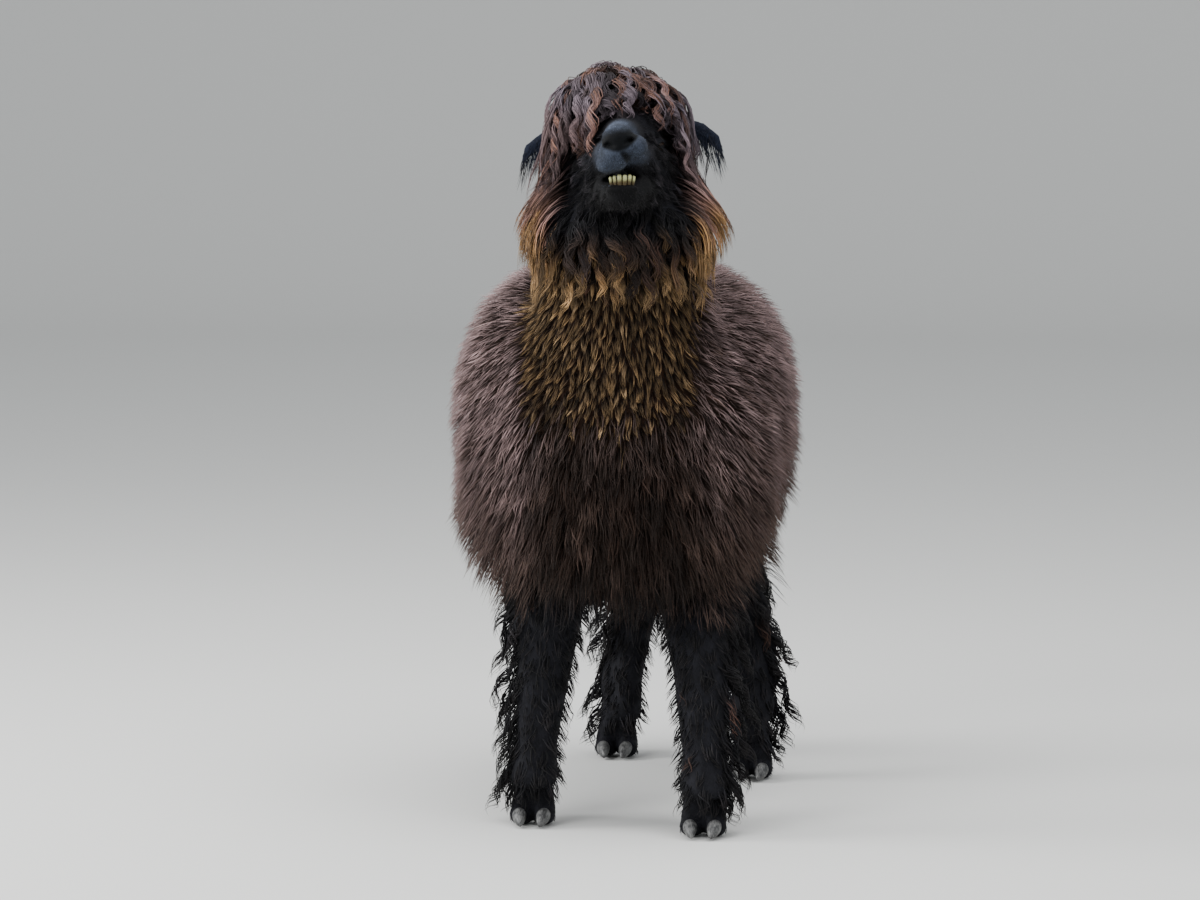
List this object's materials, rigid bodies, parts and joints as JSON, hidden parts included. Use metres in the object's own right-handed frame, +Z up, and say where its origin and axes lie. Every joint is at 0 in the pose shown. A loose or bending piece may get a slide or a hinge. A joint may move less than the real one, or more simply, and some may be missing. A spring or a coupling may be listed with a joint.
{
  "type": "alpaca",
  "caption": "Life-size standing alpaca in full dark fleece, chin raised, with a shaggy topknot, drooping ears, bushy tail and clawed two-toed feet.",
  "frame": {"origin": "middle of the bounding box, on the floor that the soles stand on", "axes": "+Z up from the floor to the topknot, -Y the way the chest and muzzle face, +X to the animal's own left"},
  "size_m": [0.6372, 1.2748, 1.3901],
  "materials": {
    "mauve_fleece": "soft matte mauve-brown fleece in fine tufts, redder at the cheeks",
    "ochre_fleece": "short pointed neck tufts, dark at the root and ochre at the tip",
    "black_fleece": "black wavy leg wool and long fine ear hair",
    "face_fur": "short blue-black velvet hair on the face, lips and feet",
    "eye_black": "wet, glossy, nearly black eye",
    "claw_horn": "pale grey horn with fine length-wise lines, a little worn"
  },
  "bodies": {
    "root": {"trunk": "mauve_fleece", "head": "mauve_fleece", "topknot": "mauve_fleece", "tail": "mauve_fleece", "neck": "ochre_fleece", "foreleg_left": "black_fleece", "foreleg_right": "black_fleece", "hindleg_left": "black_fleece", "hindleg_right": "black_fleece", "ear_left": "black_fleece", "ear_right": "black_fleece", "muzzle": "face_fur", "jaw": "face_fur", "forefoot_left": "face_fur", "forefoot_right": "face_fur", "hindfoot_left": "face_fur", "hindfoot_right": "face_fur", "eye_left": "eye_black", "eye_right": "eye_black", "foreclaw_left_inner": "claw_horn", "foreclaw_left_outer": "claw_horn", "foreclaw_right_inner": "claw_horn", "foreclaw_right_outer": "claw_horn", "hindclaw_left_inner": "claw_horn", "hindclaw_left_outer": "claw_horn", "hindclaw_right_inner": "claw_horn", "hindclaw_right_outer": "claw_horn"}
  },
  "joints": []
}
